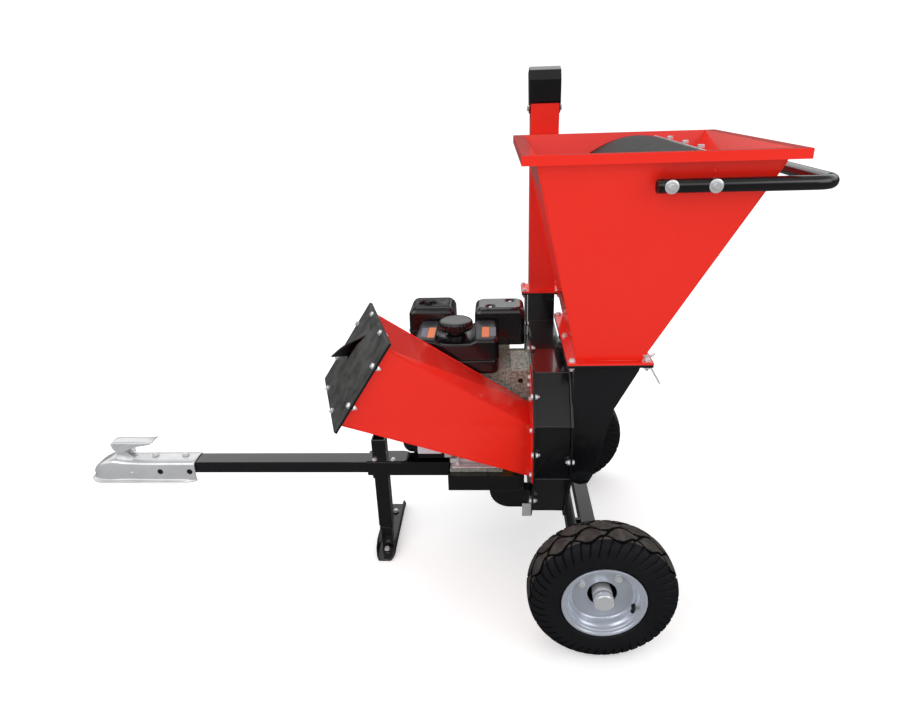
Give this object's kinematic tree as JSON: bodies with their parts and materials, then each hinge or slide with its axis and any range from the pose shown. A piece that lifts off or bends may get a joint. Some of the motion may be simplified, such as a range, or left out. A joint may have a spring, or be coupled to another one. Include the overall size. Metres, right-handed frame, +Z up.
{
  "type": "towable wood chipper",
  "caption": "Two-wheel towable wood chipper with a tapered top hopper, angled branch chute, upright discharge tower, petrol engine, tow coupler and stand leg.",
  "frame": {"origin": "on the ground under the middle of the overall length and width", "axes": "+X from the coupler towards the push handle, +Y along the axle away from the branch chute side, +Z up"},
  "size_m": [2.1416, 0.965, 1.531],
  "materials": {
    "red_paint": "gloss enamel",
    "black_paint": "satin powder coat",
    "zinc": "bright zinc plate",
    "rim_paint": "silver paint",
    "tyre_rubber": "treaded, dusty",
    "sheet_rubber": "matt sheet",
    "engine_cast": "sand cast",
    "engine_plastic": "fine texture",
    "bare_steel": "machined"
  },
  "bodies": {
    "frame": {"tow_bar": "black_paint", "coupler": "zinc", "frame_beam": "black_paint", "engine_bed": "black_paint", "bed_gusset_near": "black_paint", "bed_gusset_far": "black_paint", "axle": "black_paint", "axle_cap_near": "zinc", "axle_cap_far": "zinc", "cross_bar": "black_paint", "housing_band": "black_paint", "housing_plate_left": "black_paint", "housing_plate_right": "black_paint", "discharge_tower": "red_paint", "hood_bolt_1": "zinc", "hood_bolt_2": "zinc", "rotor_bearing": "engine_cast", "inlet_box": "black_paint", "hopper": "red_paint", "push_handle": "black_paint", "guard_flap": "sheet_rubber", "hopper_clip": "zinc", "branch_chute": "red_paint", "chute_frame": "black_paint", "flap_far": "sheet_rubber", "flap_near": "sheet_rubber", "engine_adapter": "engine_cast", "crankcase": "engine_cast", "cylinder_block": "engine_cast", "fan_shroud": "engine_plastic", "recoil_cover": "engine_plastic", "fuel_tank": "engine_plastic", "air_cleaner": "engine_plastic", "muffler": "bare_steel", "muffler_guard": "black_paint", "control_bracket": "zinc"},
    "wheel_near": {"tyre_near": "tyre_rubber", "rim_near": "rim_paint"},
    "wheel_far": {"tyre_far": "tyre_rubber", "rim_far": "rim_paint"},
    "rotor": {"rotor": "bare_steel", "knife_1": "zinc", "knife_2": "zinc"},
    "hood": {"deflector_hood": "black_paint"},
    "latch": {"coupler_latch": "zinc"},
    "leg": {"stand_leg": "black_paint", "stand_foot": "black_paint"},
    "clamp": {"leg_clamp": "zinc"},
    "cap": {"fuel_cap": "engine_plastic"},
    "knob": {"cleaner_knob": "engine_plastic"},
    "starter": {"recoil_grip": "engine_plastic"},
    "throttle": {"throttle_lever": "engine_plastic"},
    "dipstick": {"oil_dipstick": "engine_plastic"},
    "switch": {"engine_switch": "engine_plastic"}
  },
  "joints": [
    {"name": "wheel_near_spin", "type": "hinge", "parent": "frame", "child": "wheel_near", "pos_m": [0.587, -0.42, 0.203], "axis": [0, 1, 0], "continuous": true},
    {"name": "wheel_far_spin", "type": "hinge", "parent": "frame", "child": "wheel_far", "pos_m": [0.587, 0.42, 0.203], "axis": [0, 1, 0], "continuous": true},
    {"name": "rotor_spin", "type": "hinge", "parent": "frame", "child": "rotor", "pos_m": [0.441, 0.045, 0.465], "axis": [1, 0, 0], "continuous": true},
    {"name": "hood_tilt", "type": "hinge", "parent": "frame", "child": "hood", "pos_m": [0.468, 0.355, 1.412], "axis": [1, 0, 0], "range_deg": [0, 30]},
    {"name": "latch_lift", "type": "hinge", "parent": "frame", "child": "latch", "pos_m": [-0.945, 0, 0.4], "axis": [0, 1, 0], "range_deg": [-55, 0]},
    {"name": "leg_slide", "type": "slide", "parent": "frame", "child": "leg", "axis": [0, 0, 1], "range_m": [0, 0.2]},
    {"name": "clamp_turn", "type": "hinge", "parent": "frame", "child": "clamp", "pos_m": [-0.077, 0.04, 0.331], "axis": [0, 1, 0], "range_deg": [-180, 180]},
    {"name": "cap_turn", "type": "hinge", "parent": "frame", "child": "cap", "pos_m": [0.187, 0.024, 0.81], "axis": [0, 0, 1], "range_deg": [0, 90]},
    {"name": "knob_turn", "type": "hinge", "parent": "frame", "child": "knob", "pos_m": [0.087, 0.186, 0.83], "axis": [0, 0, 1], "continuous": true},
    {"name": "starter_pull", "type": "slide", "parent": "frame", "child": "starter", "axis": [-1, 0, 0], "range_m": [0, 0.3], "stiffness_N_per_m": 60},
    {"name": "throttle_swing", "type": "hinge", "parent": "frame", "child": "throttle", "pos_m": [0.222, -0.0513, 0.474], "axis": [0, 1, 0], "range_deg": [-20, 20]},
    {"name": "dipstick_turn", "type": "hinge", "parent": "frame", "child": "dipstick", "pos_m": [0.287, -0.0523, 0.4], "axis": [0, 1, 0], "continuous": true},
    {"name": "switch_turn", "type": "hinge", "parent": "frame", "child": "switch", "pos_m": [0.175, -0.0513, 0.485], "axis": [0, 1, 0], "range_deg": [0, 40]}
  ]
}
